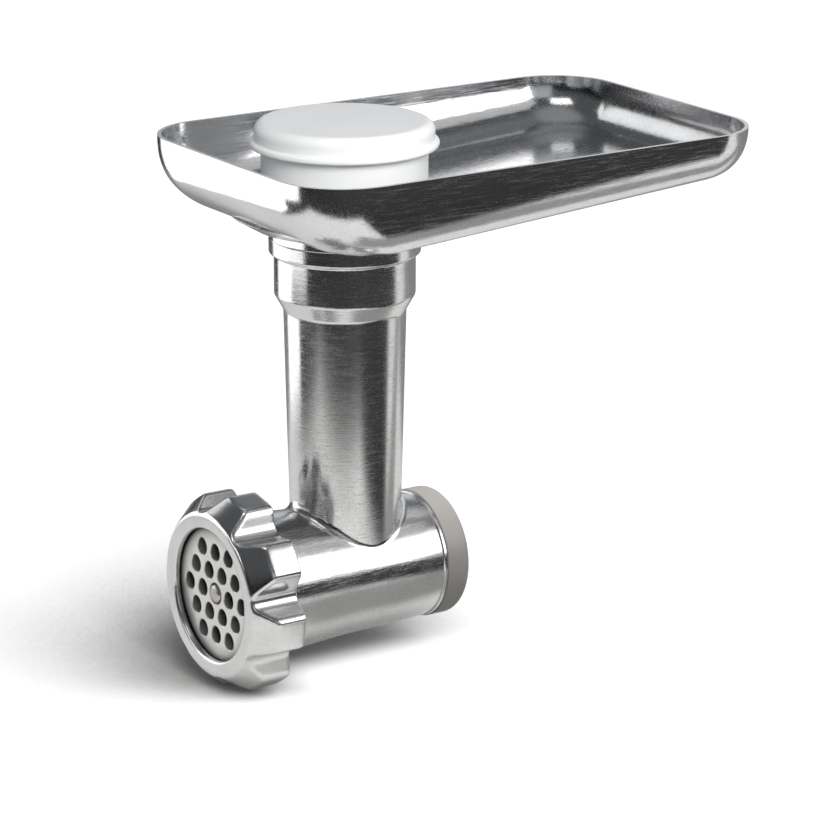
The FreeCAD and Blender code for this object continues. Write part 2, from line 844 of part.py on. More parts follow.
def feed_tray():
    """Pressed tray with a level seat for the pusher, a foot on the collar and a neck that plugs into it."""
    rise = tray_seat_r * math.tan(math.radians(tray_floor_rise))
    seat_height = tray_seat_depth + tray_sheet + rise
    seat_spread = seat_height * math.tan(math.radians(tray_seat_flare))
    seat = turned_on_tube(
        [
            (0, collar_top_z, 0),
            (collar_rim_r, collar_top_z, 0),
            (collar_rim_r, tray_foot_z, 0),
            (tray_seat_r + tray_sheet, tray_foot_z, 0),
            (tray_seat_r + tray_sheet + seat_spread, tray_foot_z + seat_height, 0),
            (0, tray_foot_z + seat_height, 0),
        ]
    )
    hollow = turned_on_tube(
        [
            (0, tray_seat_z, 0),
            (tray_seat_r, tray_seat_z, 0),
            (tray_seat_r + seat_spread, tray_seat_z + seat_height, 0),
            (0, tray_seat_z + seat_height, 0),
        ]
    )
    outside = tray_form(0.0)
    inside = tray_form(tray_sheet)
    neck_foot = Vector(tube_x, 0, neck_foot_z)
    neck = Part.makeCylinder(tray_neck_r, tray_foot_z - neck_foot_z, neck_foot, tube_axis)
    neck_bore = Part.makeCylinder(tray_neck_bore_r, tray_rim_z - neck_foot_z, neck_foot, tube_axis)
    tray = outside.fuse([seat, neck])
    for cut in (inside, hollow, neck_bore):
        tray = tray.cut(cut)
    return tray


def pusher_body():
    """Hollow pusher: a wide cup that sits in the tray and a closed stem that reaches down the tube."""
    stem_bore_r = pusher_stem_r - pusher_stem_wall
    return turned_on_tube(
        [
            (0, stem_foot_z, 0),
            (pusher_stem_r, stem_foot_z, pusher_edge_round),
            (pusher_stem_r, tray_seat_z, 0),
            (pusher_head_r, tray_seat_z, pusher_edge_round),
            (pusher_head_r, pusher_rim_z, 0),
            (pusher_head_r - pusher_head_wall, pusher_rim_z, 0),
            (pusher_head_r - pusher_head_wall, tray_seat_z + pusher_head_floor, 0),
            (stem_bore_r, tray_seat_z + pusher_head_floor, 0),
            (stem_bore_r, stem_foot_z + pusher_head_floor, 0),
            (0, stem_foot_z + pusher_head_floor, 0),
        ]
    )


def pusher_lid():
    """Snap-on lid with a rounded top edge and a rolled lip at its skirt."""
    return turned_on_tube(
        [
            (0, lid_top_z, 0),
            (0, pusher_rim_z, 0),
            (lid_bore_r, pusher_rim_z, 0),
            (lid_bore_r, lid_bottom_z, 0),
            (lid_lip_r, lid_bottom_z, lid_lip_round),
            (lid_lip_r, lid_bottom_z + lid_lip_height, lid_lip_round),
            (lid_r, lid_bottom_z + lid_lip_height, 0),
            (lid_r, lid_top_z, lid_edge_round),
        ]
    )


def main():
    os.makedirs("parts", exist_ok=True)
    export("grinder_body", grinder_body())
    export("plate_key_pin", plate_key_pin())
    export("rear_hub", rear_hub())
    export("hub_screws", hub_screws())
    export("rear_bearing_bush", rear_bearing_bush())
    export("shaft_seal", shaft_seal())
    export("thrust_washer", thrust_washer())
    export("shaft_clip", shaft_clip())
    export("auger", auger())
    export("auger_front_stud", auger_front_stud())
    export("drive_shaft", drive_shaft())
    export("drive_coupling", drive_coupling())
    export("coupling_washer", coupling_washer())
    export("coupling_screw", coupling_screw())
    export("cutter_blade", cutter_blade())
    export("perforated_plate", perforated_plate())
    export("screw_ring", screw_ring())
    export("feed_tray", feed_tray())
    export("pusher_body", pusher_body())
    export("pusher_lid", pusher_lid())


main()
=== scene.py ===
"""Looks of a mincer head: finishes, small forms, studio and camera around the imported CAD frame."""

import json
import logging
import math
from dataclasses import dataclass, field
from enum import Enum
from typing import Any, Callable

import bpy
from mathutils import Matrix, Vector

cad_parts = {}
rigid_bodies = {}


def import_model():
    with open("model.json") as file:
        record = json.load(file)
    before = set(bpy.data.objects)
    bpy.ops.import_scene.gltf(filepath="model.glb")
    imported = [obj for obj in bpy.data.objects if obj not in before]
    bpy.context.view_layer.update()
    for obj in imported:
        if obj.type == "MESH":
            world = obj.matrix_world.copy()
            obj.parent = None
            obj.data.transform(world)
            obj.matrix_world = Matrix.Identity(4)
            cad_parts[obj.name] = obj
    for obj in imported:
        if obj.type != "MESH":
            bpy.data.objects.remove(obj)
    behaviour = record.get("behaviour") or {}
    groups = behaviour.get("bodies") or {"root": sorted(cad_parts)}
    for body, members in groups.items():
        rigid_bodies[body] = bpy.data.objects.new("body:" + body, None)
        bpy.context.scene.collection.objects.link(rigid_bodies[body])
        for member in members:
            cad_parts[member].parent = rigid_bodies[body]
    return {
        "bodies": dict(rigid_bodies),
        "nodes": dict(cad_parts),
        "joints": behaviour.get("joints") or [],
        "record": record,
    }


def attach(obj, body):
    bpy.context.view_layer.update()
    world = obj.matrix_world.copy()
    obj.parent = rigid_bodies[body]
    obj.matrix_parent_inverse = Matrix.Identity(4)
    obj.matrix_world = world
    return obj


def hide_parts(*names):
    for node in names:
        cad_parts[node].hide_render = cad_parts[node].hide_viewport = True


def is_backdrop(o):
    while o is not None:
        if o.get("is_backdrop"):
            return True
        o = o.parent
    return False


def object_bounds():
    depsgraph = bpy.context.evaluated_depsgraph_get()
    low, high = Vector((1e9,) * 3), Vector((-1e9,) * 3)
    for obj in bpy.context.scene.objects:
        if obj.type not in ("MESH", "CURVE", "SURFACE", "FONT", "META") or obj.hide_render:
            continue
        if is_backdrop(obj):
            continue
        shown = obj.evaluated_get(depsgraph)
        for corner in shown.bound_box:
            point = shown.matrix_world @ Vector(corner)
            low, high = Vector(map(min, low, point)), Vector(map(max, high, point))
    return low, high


log = logging.getLogger("mincer")

MM = 0.001
MERGE = 1e-6
NEAR = 1e-5

Colour = tuple[float, float, float]
Range = tuple[float, float]

PURE_WHITE: Colour = (1.0, 1.0, 1.0)
NOISE_SPAN: Range = (0.3, 0.7)
STAIN_SPAN: Range = (0.4, 0.66)
SPECK_SPAN: Range = (0.48, 0.64)
FEW_RAYS = 4


class Body(str, Enum):
    """Bodies of the frame that pieces ride on."""

    CASTING = "body"
    AUGER = "auger"
    RING = "ring"


class Slot(str, Enum):
    """Material slots of the record, passed along with each modelled piece."""

    CAST = "cast_aluminium"
    ZINC_STEEL = "zinc_steel"


class Lay(Enum):
    """Direction of a metal's fine marks: the share of each axis in the pattern's pace."""

    EVEN = (1.0, 1.0, 1.0)
    ALONG_BARREL = (0.03, 1.0, 1.0)
    LEVEL = (0.05, 0.05, 1.0)
    TURNED = (0.0, 1.0, 1.0)


# Node trees


@dataclass
class Graph:
    """A node tree with short calls to add and join nodes."""

    tree: bpy.types.NodeTree

    def add(self, kind: str, **settings: Any) -> bpy.types.Node:
        """Adds a node.

        Args:
            kind: The node's type name.
            settings: Properties of the node to set.

        Returns:
            The new node.
        """
        node = self.tree.nodes.new(kind)
        for name, value in settings.items():
            setattr(node, name, value)
        return node

    def put(self, node: bpy.types.Node, **values: Any) -> bpy.types.Node:
        """Sets or joins a node's inputs.

        Args:
            node: The node.
            values: Values or output sockets, by the input's name with _ for a blank, or by i and its index.

        Returns:
            The same node.
        """
        for name, value in values.items():
            key: Any = int(name[1:]) if name[0] == "i" and name[1:].isdigit() else name.replace("_", " ")
            if isinstance(value, bpy.types.NodeSocket):
                self.tree.links.new(value, node.inputs[key])
            else:
                node.inputs[key].default_value = value
        return node

    def math(self, operation: str, *values: Any) -> bpy.types.NodeSocket:
        """Joins two or more values by one Math operation, from the left.

        Args:
            operation: The operation's name.
            values: Numbers or output sockets.

        Returns:
            The result.
        """
        result = values[0]
        for value in values[1:]:
            node = self.add("ShaderNodeMath", operation=operation)
            result = self.put(node, i0=result, i1=value).outputs[0]
        return result

    def noise(self, vector: Any, detail: float = 2.0, roughness: float = 0.5) -> bpy.types.NodeSocket:
        """Adds a Noise Texture.

        Args:
            vector: The place in the pattern, already at its scale.
            detail: Number of finer layers.
            roughness: Share of the finer layers.

        Returns:
            The noise's factor.
        """
        node = self.add("ShaderNodeTexNoise")
        return self.put(node, Vector=vector, Scale=1.0, Detail=detail, Roughness=roughness).outputs["Fac"]

    def scaled(self, vector: Any, scale: Any) -> bpy.types.NodeSocket:
        """Scales a vector.

        Args:
            vector: The vector.
            scale: The factor.

        Returns:
            The scaled vector.
        """
        node = self.add("ShaderNodeVectorMath", operation="SCALE")
        return self.put(node, i0=vector, Scale=scale).outputs[0]

    def ramp(
        self, factor: Any, low: float, high: float, start: float = 0.0, end: float = 1.0
    ) -> bpy.types.NodeSocket:
        """Adds a smooth Map Range.

        Args:
            factor: The value to map.
            low: Where the ramp begins.
            high: Where it ends.
            start: Result up to the beginning.
            end: Result from the end on.

        Returns:
            The mapped value.
        """
        node = self.add("ShaderNodeMapRange", interpolation_type="SMOOTHSTEP")
        return self.put(node, Value=factor, i1=low, i2=high, i3=start, i4=end).outputs[0]

    def dot(self, vector: Any, axis: Vector) -> bpy.types.NodeSocket:
        """Measures a vector along a fixed axis.

        Args:
            vector: The vector.
            axis: The axis.

        Returns:
            The dot product.
        """
        node = self.add("ShaderNodeVectorMath", operation="DOT_PRODUCT")
        return self.put(node, i0=vector, i1=tuple(axis)).outputs["Value"]

    def fixed(self, vector: Vector) -> bpy.types.NodeSocket:
        """Adds a constant vector and returns its output."""
        node = self.add("ShaderNodeCombineXYZ")
        return self.put(node, X=vector.x, Y=vector.y, Z=vector.z).outputs[0]

    def tint(self, factor: Any, first: Any, second: Any) -> bpy.types.NodeSocket:
        """Mixes two colours.

        Args:
            factor: Share of the second colour.
            first: Colour at 0.
            second: Colour at 1.

        Returns:
            The mixed colour.
        """
        node = self.add("ShaderNodeMix", data_type="RGBA")
        return self.put(node, i0=factor, i6=first, i7=second).outputs[2]

    def blend(self, first: Any, second: Any, share: Any) -> bpy.types.NodeSocket:
        """Adds two values in shares.

        Args:
            first: The first value.
            second: The second value.
            share: The first value's share; the second has the rest.

        Returns:
            The sum.
        """
        rest = self.math("SUBTRACT", 1.0, share)
        return self.math("ADD", self.math("MULTIPLY", first, share), self.math("MULTIPLY", second, rest))

    def openness(self, reach: float, samples: int, **inputs: Any) -> bpy.types.NodeSocket:
        """Adds an Ambient Occlusion node.

        Args:
            reach: How far an obstacle counts.
            samples: Rays for each point.
            inputs: Other inputs of the node.

        Returns:
            A value that is 1 in the open.
        """
        node = self.add("ShaderNodeAmbientOcclusion", samples=samples)
        return self.put(node, Distance=reach, **inputs).outputs["AO"]


def rgba(colour: Colour) -> tuple[float, float, float, float]:
    """A colour with full alpha."""
    return (*colour, 1.0)


class Effect:
    """Shared surface effects as shader node groups, each built once."""

    @staticmethod
    def group(name: str, inputs: dict[str, float], outputs: tuple[str, ...]) -> tuple[Graph, Any, Any]:
        """Makes an empty group with a Vector input, float inputs and float outputs.

        Args:
            name: The group's name.
            inputs: Default values by input name.
            outputs: Names of the outputs.

        Returns:
            The graph, its input node and its output node.
        """
        tree = bpy.data.node_groups.new(name, "ShaderNodeTree")
        tree.interface.new_socket("Vector", in_out="INPUT", socket_type="NodeSocketVector")
        for key, value in inputs.items():
            socket = tree.interface.new_socket(key, in_out="INPUT", socket_type="NodeSocketFloat")
            socket.default_value = value
        for key in outputs:
            tree.interface.new_socket(key, in_out="OUTPUT", socket_type="NodeSocketFloat")
        graph = Graph(tree)
        return graph, graph.add("NodeGroupInput"), graph.add("NodeGroupOutput")

    @staticmethod
    def metal_grain() -> bpy.types.NodeTree:
        """Fine marks and specks of a worked metal surface, with a slow unevenness of the polish.

        Returns:
            A group that puts out Height for a bump, Polish and Specks for roughness and Stain for colour.
        """
        name = "metal_grain"
        if name in bpy.data.node_groups:
            return bpy.data.node_groups[name]
        inputs = {"Marks": 2400.0, "Specks": 1700.0, "Patches": 35.0, "Share": 0.5}
        graph, given, result = Effect.group(name, inputs, ("Height", "Polish", "Specks", "Stain"))
        plain = graph.add("ShaderNodeTexCoord").outputs["Object"]
        marks = graph.noise(graph.scaled(given.outputs["Vector"], given.outputs["Marks"]), detail=3.0, roughness=0.6)
        specks = graph.noise(graph.scaled(plain, given.outputs["Specks"]), detail=1.5)
        patches = graph.noise(graph.scaled(plain, given.outputs["Patches"]), detail=4.0, roughness=0.6)
        height = graph.blend(marks, specks, given.outputs["Share"])
        graph.put(result, Height=height, Specks=graph.ramp(height, *SPECK_SPAN))
        graph.put(result, Polish=graph.blend(height, patches, share=0.5))
        graph.put(result, Stain=graph.blend(specks, patches, share=0.6))
        return graph.tree

    @staticmethod
    def moulded_skin() -> bpy.types.NodeTree:
        """Fine spark texture and slow tone change of a moulded plastic.

        Returns:
            A group that puts out Height for a bump, Sheen for roughness and Tone for colour.
        """
        name = "moulded_skin"
        if name in bpy.data.node_groups:
            return bpy.data.node_groups[name]
        graph, given, result = Effect.group(name, {"Skin": 2600.0, "Tone": 28.0}, ("Height", "Sheen", "Tone"))
        fine = graph.noise(graph.scaled(given.outputs["Vector"], given.outputs["Skin"]), roughness=0.55)
        slow = graph.noise(graph.scaled(given.outputs["Vector"], given.outputs["Tone"]), detail=3.0)
        graph.put(result, Height=fine, Sheen=graph.blend(fine, slow, share=0.4), Tone=slow)
        return graph.tree


# Finishes


def blank_material(name: str) -> tuple[bpy.types.Material, Graph, bpy.types.Node]:
    """Makes a material with its plain shader.

    Args:
        name: The material's name.

    Returns:
        The material, its graph and its Principled shader.
    """
    made = bpy.data.materials.new(name)
    made.use_nodes = True
    return made, Graph(made.node_tree), made.node_tree.nodes["Principled BSDF"]


@dataclass(frozen=True)
class MetalFinish:
    """A bare metal: colour, polish, the size and lay of its marks, its frosted specks, and painted shade that
    darkens its holes and corners.
    """

    name: str
    colour: Colour
    stain: Colour
    rough: Range
    marks: float
    specks: float
    depth: float
    lay: Lay = Lay.EVEN
    share: float = 0.5
    bloom: float = 0.12
    painted_shade_reach: float = 3.0
    painted_shade_tone: float = 1.0
    painted_shade_span: Range = (0.58, 0.9)

    def pattern(self, graph: Graph) -> bpy.types.NodeSocket:
        """The place on the surface in the pace of the finish's marks.

        Args:
            graph: The material's node tree.

        Returns:
            A vector output.
        """
        coords = graph.add("ShaderNodeTexCoord").outputs["Object"]
        mapping = graph.add("ShaderNodeMapping")
        graph.put(mapping, Vector=coords, Scale=self.lay.value)
        if self.lay is not Lay.TURNED:
            return mapping.outputs[0]
        from_axis = graph.add("ShaderNodeVectorMath", operation="LENGTH")
        graph.put(from_axis, i0=mapping.outputs[0])
        ring = graph.add("ShaderNodeCombineXYZ")
        graph.put(ring, X=from_axis.outputs["Value"])
        return ring.outputs[0]

    def material(self) -> bpy.types.Material:
        """The finish as a Blender material, built at first use.

        Returns:
            The material.
        """
        if self.name in bpy.data.materials:
            return bpy.data.materials[self.name]
        made, graph, shader = blank_material(self.name)
        grain = graph.add("ShaderNodeGroup", node_tree=Effect.metal_grain())
        graph.put(grain, Vector=self.pattern(graph), Marks=self.marks, Specks=self.specks, Share=self.share)
        stained = graph.ramp(grain.outputs["Stain"], *STAIN_SPAN)
        colour = graph.tint(stained, rgba(self.colour), rgba(self.stain))
        rough = graph.ramp(grain.outputs["Polish"], *NOISE_SPAN, *self.rough)
        rough = graph.math("ADD", rough, graph.math("MULTIPLY", grain.outputs["Specks"], self.bloom))
        bare: Any = 1.0
        # Painted shade: where occlusion finds a hole or corner, the colour goes towards near black, matt and not
        # metallic.
        if self.painted_shade_tone < 1.0:
            bare = graph.ramp(graph.openness(self.painted_shade_reach * MM, FEW_RAYS), *self.painted_shade_span)
            dark = tuple(self.painted_shade_tone * part for part in self.colour)
            colour = graph.tint(bare, rgba(dark), colour)
            rough = graph.math("MAXIMUM", rough, graph.math("SUBTRACT", 1.0, bare))
            graph.put(shader, Specular_IOR_Level=0.0)
        bump = graph.add("ShaderNodeBump")
        graph.put(bump, Strength=1.0, Distance=self.depth * MM, Height=grain.outputs["Height"])
        graph.put(shader, Base_Color=colour, Roughness=rough, Normal=bump.outputs[0], Metallic=bare)
        return made


@dataclass(frozen=True)
class PlasticFinish:
    """A moulded plastic or rubber: colour, sheen and skin texture."""

    name: str
    colour: Colour
    deep: Colour
    rough: Range
    skin: float
    depth: float

    def material(self) -> bpy.types.Material:
        """The finish as a Blender material, built at first use.

        Returns:
            The material.
        """
        if self.name in bpy.data.materials:
            return bpy.data.materials[self.name]
        made, graph, shader = blank_material(self.name)
        coords = graph.add("ShaderNodeTexCoord").outputs["Object"]
        skin = graph.add("ShaderNodeGroup", node_tree=Effect.moulded_skin())
        graph.put(skin, Vector=coords, Skin=self.skin)
        deepened = graph.ramp(skin.outputs["Tone"], *NOISE_SPAN)
        colour = graph.tint(deepened, rgba(self.colour), rgba(self.deep))
        rough = graph.ramp(skin.outputs["Sheen"], *NOISE_SPAN, *self.rough)
        bump = graph.add("ShaderNodeBump")
        graph.put(bump, Strength=1.0, Distance=self.depth * MM, Height=skin.outputs["Height"])
        graph.put(shader, Base_Color=colour, Roughness=rough, Normal=bump.outputs[0])
        return made


Finish = MetalFinish | PlasticFinish

ALUMINIUM = (0.83, 0.83, 0.828)
STAINED = (0.66, 0.66, 0.655)
CAST_BODY = MetalFinish("polished_casting", ALUMINIUM, STAINED, (0.12, 0.22), 2600, 3300, 0.028, Lay.LEVEL)
CAST_RING = MetalFinish("tumbled_casting", ALUMINIUM, STAINED, (0.14, 0.23), 2600, 3000, 0.012, bloom=0.06)
AS_CAST = MetalFinish("rough_casting", (0.5, 0.5, 0.49), (0.36, 0.36, 0.35), (0.4, 0.55), 1200, 900, 0.05)
PRESSED = MetalFinish(
    "pressed_sheet", (0.84, 0.84, 0.845), (0.72, 0.72, 0.725), (0.08, 0.16), 2600, 3300, 0.02, Lay.ALONG_BARREL,
    share=0.7, bloom=0.18,
)
# The plate's holes get painted shade, near black.
PLATE_STEEL = MetalFinish(
    "turned_plate", (0.86, 0.85, 0.83), (0.76, 0.75, 0.73), (0.3, 0.42), 2200, 1800, 0.02, Lay.TURNED,
    share=0.6, bloom=0.1, painted_shade_reach=6.0, painted_shade_tone=0.01,
)
TOOL_STEEL = MetalFinish("ground_steel", (0.6, 0.58, 0.55), (0.48, 0.46, 0.43), (0.25, 0.4), 1800, 1500, 0.03)
ZINC = MetalFinish("zinc_plate", (0.62, 0.62, 0.6), (0.5, 0.5, 0.47), (0.25, 0.4), 900, 1200, 0.02)
GREY = PlasticFinish("grey_moulding", (0.228, 0.218, 0.204), (0.208, 0.2, 0.187), (0.38, 0.5), 2200, 0.012)
DRIVER = PlasticFinish("driver_moulding", (0.1, 0.1, 0.11), (0.08, 0.08, 0.09), (0.35, 0.5), 1800, 0.015)
BEARING = PlasticFinish("bearing_moulding", (0.85, 0.83, 0.78), (0.8, 0.78, 0.72), (0.3, 0.45), 1500, 0.006)
SEAL = PlasticFinish("seal_rubber", (0.05, 0.05, 0.05), (0.035, 0.035, 0.035), (0.6, 0.8), 1500, 0.02)
WHITE = PlasticFinish("white_moulding", (0.88, 0.88, 0.875), (0.85, 0.85, 0.845), (0.38, 0.5), 2000, 0.008)


# Mesh work


class Workshop:
    """Mesh work through Blender's own operators."""

    @staticmethod
    def take(piece: bpy.types.Object) -> None:
        """Makes a piece the only selected and active object.

        Args:
            piece: The piece.
        """
        bpy.ops.object.select_all(action="DESELECT")
        piece.select_set(True)
        bpy.context.view_layer.objects.active = piece

    @staticmethod
    def pick(piece: bpy.types.Object, wanted: Callable[[Vector], bool]) -> None:
        """Selects the vertices of a piece that pass a test and stays in edit mode.

        Args:
            piece: A piece in object mode.
            wanted: The test of a vertex's place.
        """
        bpy.ops.object.mode_set(mode="EDIT")
        bpy.ops.mesh.select_mode(type="VERT")
        bpy.ops.mesh.select_all(action="DESELECT")
        bpy.ops.object.mode_set(mode="OBJECT")
        for vertex in piece.data.vertices:
            vertex.select = wanted(vertex.co)
        bpy.ops.object.mode_set(mode="EDIT")

    @staticmethod
    def apply(piece: bpy.types.Object, kind: str, **settings: Any) -> None:
        """Adds a modifier and applies it.

        Args:
            piece: The piece.
            kind: The modifier's type name.
            settings: Properties of the modifier to set.
        """
        Workshop.take(piece)
        modifier = piece.modifiers.new(kind.lower(), kind)
        for name, value in settings.items():
            setattr(modifier, name, value)
        bpy.ops.object.modifier_apply(modifier=modifier.name)

    @staticmethod
    def copy_of(node: bpy.types.Object, name: str) -> bpy.types.Object:
        """Copies a CAD node with its triangles joined.

        Args:
            node: The CAD node.
            name: The copy's name.

        Returns:
            The copy, with a mesh of its own and the node's own shading.
        """
        piece = bpy.data.objects.new(name, node.data.copy())
        piece.data.name = name
        bpy.context.scene.collection.objects.link(piece)
        Workshop.take(piece)
        bpy.ops.object.mode_set(mode="EDIT")
        bpy.ops.mesh.select_all(action="SELECT")
        bpy.ops.mesh.remove_doubles(threshold=MERGE)
        bpy.ops.object.mode_set(mode="OBJECT")
        bpy.ops.object.shade_smooth()
        Workshop.apply(
            piece, "DATA_TRANSFER", object=node, use_loop_data=True, data_types_loops={"CUSTOM_NORMAL"},
            loop_mapping="TOPOLOGY",
        )
        return piece

    @staticmethod
    def cross_recess(piece: bpy.types.Object, face: Vector, size: tuple[float, float, float]) -> None:
        """Sinks a cross recess into a screw head that faces +X; sizes in millimetres.

        Args:
            piece: The screw.
            face: Middle of the head's face.
            size: Length of each arm end to end, its width, and its depth below the face.
        """
        centre = face * MM
        length, width, depth = (part * MM for part in size)
        taper = 0.6
        for turn in (0.0, 0.5 * math.pi):
            bpy.ops.object.select_all(action="DESELECT")
            bpy.ops.mesh.primitive_cube_add(size=1.0, location=centre, rotation=(turn, 0.0, 0.0))
            cutter = bpy.context.object
            bpy.ops.transform.resize(value=(2 * depth, length, width), orient_type="LOCAL")
            bpy.ops.object.transform_apply(location=True, rotation=True, scale=True)
            Workshop.pick(cutter, lambda place: place.x < centre.x)
            bpy.ops.transform.resize(value=(1.0, taper, taper), center_override=tuple(centre))
            bpy.ops.object.mode_set(mode="OBJECT")
            Workshop.apply(piece, "BOOLEAN", operation="DIFFERENCE", solver="EXACT", object=cutter)
            bpy.data.objects.remove(cutter)


@dataclass
class Thread:
    """The ridge of a screw thread round the barrel axis, sizes in millimetres."""

    name: str
    root: float
    crest: float
    front: float
    rear: float
    pitch: float = 3.0
    foot: float = 2.2
    land: float = 0.6
    spare_turns: int = 2
    steps: int = 96
    smooth_angle: float = 25.0

    def build(self) -> bpy.types.Object:
        """Models the ridge: a tapered profile wound round the axis and cut square at both ends.

        Returns:
            The ridge.
        """
        turns = math.ceil((self.rear - self.front) / self.pitch) + self.spare_turns
        start = Vector(((self.front - self.pitch) * MM, 0.0, 0.5 * (self.root + self.crest) * MM))
        bpy.ops.object.select_all(action="DESELECT")
        bpy.ops.mesh.primitive_plane_add(size=1.0, location=start, rotation=(0.5 * math.pi, 0.0, 0.0))
        ridge = bpy.context.object
        ridge.name = self.name
        bpy.ops.transform.resize(value=(self.foot * MM, 1.0, abs(self.crest - self.root) * MM))
        bpy.ops.object.transform_apply(location=True, rotation=True, scale=True)
        top = self.crest * MM
        Workshop.pick(ridge, lambda place: abs(place.z - top) < NEAR)
        bpy.ops.transform.resize(value=(self.land / self.foot, 1.0, 1.0), center_override=(start.x, 0.0, top))
        bpy.ops.mesh.select_all(action="SELECT")
        bpy.ops.mesh.delete(type="ONLY_FACE")
        bpy.ops.object.mode_set(mode="OBJECT")
        Workshop.apply(
            ridge, "SCREW", axis="X", angle=2 * math.pi, screw_offset=self.pitch * MM, iterations=turns,
            steps=self.steps, render_steps=self.steps,
        )
        bpy.ops.object.mode_set(mode="EDIT")
        bpy.ops.mesh.select_all(action="SELECT")
        bpy.ops.mesh.remove_doubles(threshold=MERGE)
        for end, side in ((self.front, "clear_inner"), (self.rear, "clear_outer")):
            bpy.ops.mesh.bisect(plane_co=(end * MM, 0, 0), plane_no=(1, 0, 0), use_fill=True, **{side: True})
            bpy.ops.mesh.select_all(action="SELECT")
        bpy.ops.mesh.normals_make_consistent(inside=False)
        bpy.ops.object.mode_set(mode="OBJECT")
        bpy.ops.object.shade_smooth_by_angle(angle=math.radians(self.smooth_angle))
        return ridge


# Sub-assemblies


@dataclass
class SubAssembly:
    """Some of the object's CAD nodes and the pieces that are modelled onto them."""

    frame: dict[str, Any]

    def coats(self) -> dict[str, Finish]:
        """The finish of each CAD node."""
        raise NotImplementedError

    def build(self) -> None:
        """Models the sub-assembly's own pieces; some have none."""

    def dress(self) -> None:
        """Gives each CAD node its finish."""
        for name, finish in self.coats().items():
            node = self.frame["nodes"][name]
            node.data.materials.clear()
            node.data.materials.append(finish.material())
            log.info("node %s: %s", name, finish.name)

    def add(self, piece: bpy.types.Object, body: Body, slot: Slot, finish: Finish, *nodes: str) -> None:
        """Puts a modelled piece on its body.

        Args:
            piece: The piece.
            body: The body it rides on.
            slot: Not used.
            finish: Its finish.
            nodes: CAD nodes that it stands for.
        """
        piece.data.materials.clear()
        piece.data.materials.append(finish.material())
        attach(piece, body.value)
        if nodes:
            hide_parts(*nodes)
        log.info("piece %s on %s: %d faces", piece.name, body.value, len(piece.data.polygons))


@dataclass
class CastBody(SubAssembly):
    """The casting with its feed tube, and the pin that keys the plate; sizes in millimetres."""

    thread_front: float = -96.3
    thread_rear: float = -83.3
    thread_crest: float = 29.2
    thread_root: float = 28.1
    thread_lead: float = 0.8
    seat_r: float = 27.05
    ridge_sink: float = 0.15
    margin: float = 0.05

    def coats(self) -> dict[str, Finish]:
        """The finish of each CAD node."""
        return {"grinder_body": CAST_BODY, "plate_key_pin": TOOL_STEEL}

    def build(self) -> None:
        """Models the casting with a cut thread at its front."""
        casting = Workshop.copy_of(self.frame["nodes"]["grinder_body"], "threaded_casting")
        inner = 0.5 * (self.seat_r + self.thread_root) * MM
        rear = (self.thread_rear + self.margin) * MM
        Workshop.pick(casting, lambda place: place.x < rear and math.hypot(place.y, place.z) > inner)
        shrink = self.thread_root / self.thread_crest
        bpy.ops.transform.resize(value=(1.0, shrink, shrink), center_override=(0.0, 0.0, 0.0))
        bpy.ops.object.mode_set(mode="OBJECT")
        self.add(casting, Body.CASTING, Slot.CAST, CAST_BODY, "grinder_body")
        root, crest = self.thread_root - self.ridge_sink, self.thread_crest - self.margin
        thread = Thread("barrel_thread", root, crest, self.thread_front + self.thread_lead, self.thread_rear)
        self.add(thread.build(), Body.CASTING, Slot.CAST, CAST_RING)


@dataclass
class RearHub(SubAssembly):
    """The grey drive socket and its three screws; sizes in millimetres."""

    screw_circle: float = 15.65
    screw_face: float = -7.4
    screw_angles: tuple[float, ...] = (90.0, 210.0, 330.0)
    recess: tuple[float, float, float] = (3.0, 0.75, 0.9)

    def coats(self) -> dict[str, Finish]:
        """The finish of each CAD node."""
        return {"rear_hub": GREY, "hub_screws": ZINC}

    def build(self) -> None:
        """Models the screws with cross recesses."""
        screws = Workshop.copy_of(self.frame["nodes"]["hub_screws"], "recessed_hub_screws")
        for angle in map(math.radians, self.screw_angles):
            across, up = self.screw_circle * math.cos(angle), self.screw_circle * math.sin(angle)
            Workshop.cross_recess(screws, Vector((self.screw_face, across, up)), self.recess)
        self.add(screws, Body.CASTING, Slot.ZINC_STEEL, ZINC, "hub_screws")


@dataclass
class DriveTrain(SubAssembly):
    """Bush, seal and washer in the casting, and the shaft with its clip and coupling; sizes in millimetres."""

    screw_face: float = -7.6
    recess: tuple[float, float, float] = (4.4, 1.0, 1.0)

    def coats(self) -> dict[str, Finish]:
        """The finish of each CAD node.

        Returns:
            Finishes by the node's name.
        """
        return {
            "rear_bearing_bush": BEARING,
            "thrust_washer": BEARING,
            "shaft_seal": SEAL,
            "shaft_clip": ZINC,
            "drive_shaft": TOOL_STEEL,
            "drive_coupling": DRIVER,
            "coupling_washer": ZINC,
            "coupling_screw": ZINC,
        }

    def build(self) -> None:
        """Models the coupling's screw with a cross recess."""
        screw = Workshop.copy_of(self.frame["nodes"]["coupling_screw"], "recessed_coupling_screw")
        Workshop.cross_recess(screw, Vector((self.screw_face, 0.0, 0.0)), self.recess)
        self.add(screw, Body.AUGER, Slot.ZINC_STEEL, ZINC, "coupling_screw")


@dataclass
class CuttingSet(SubAssembly):
    """Auger, stud, cutter and plate."""

    def coats(self) -> dict[str, Finish]:
        """The finish of each CAD node.

        Returns:
            Finishes by the node's name.
        """
        return {
            "auger": AS_CAST,
            "auger_front_stud": TOOL_STEEL,
            "cutter_blade": TOOL_STEEL,
            "perforated_plate": PLATE_STEEL,
        }


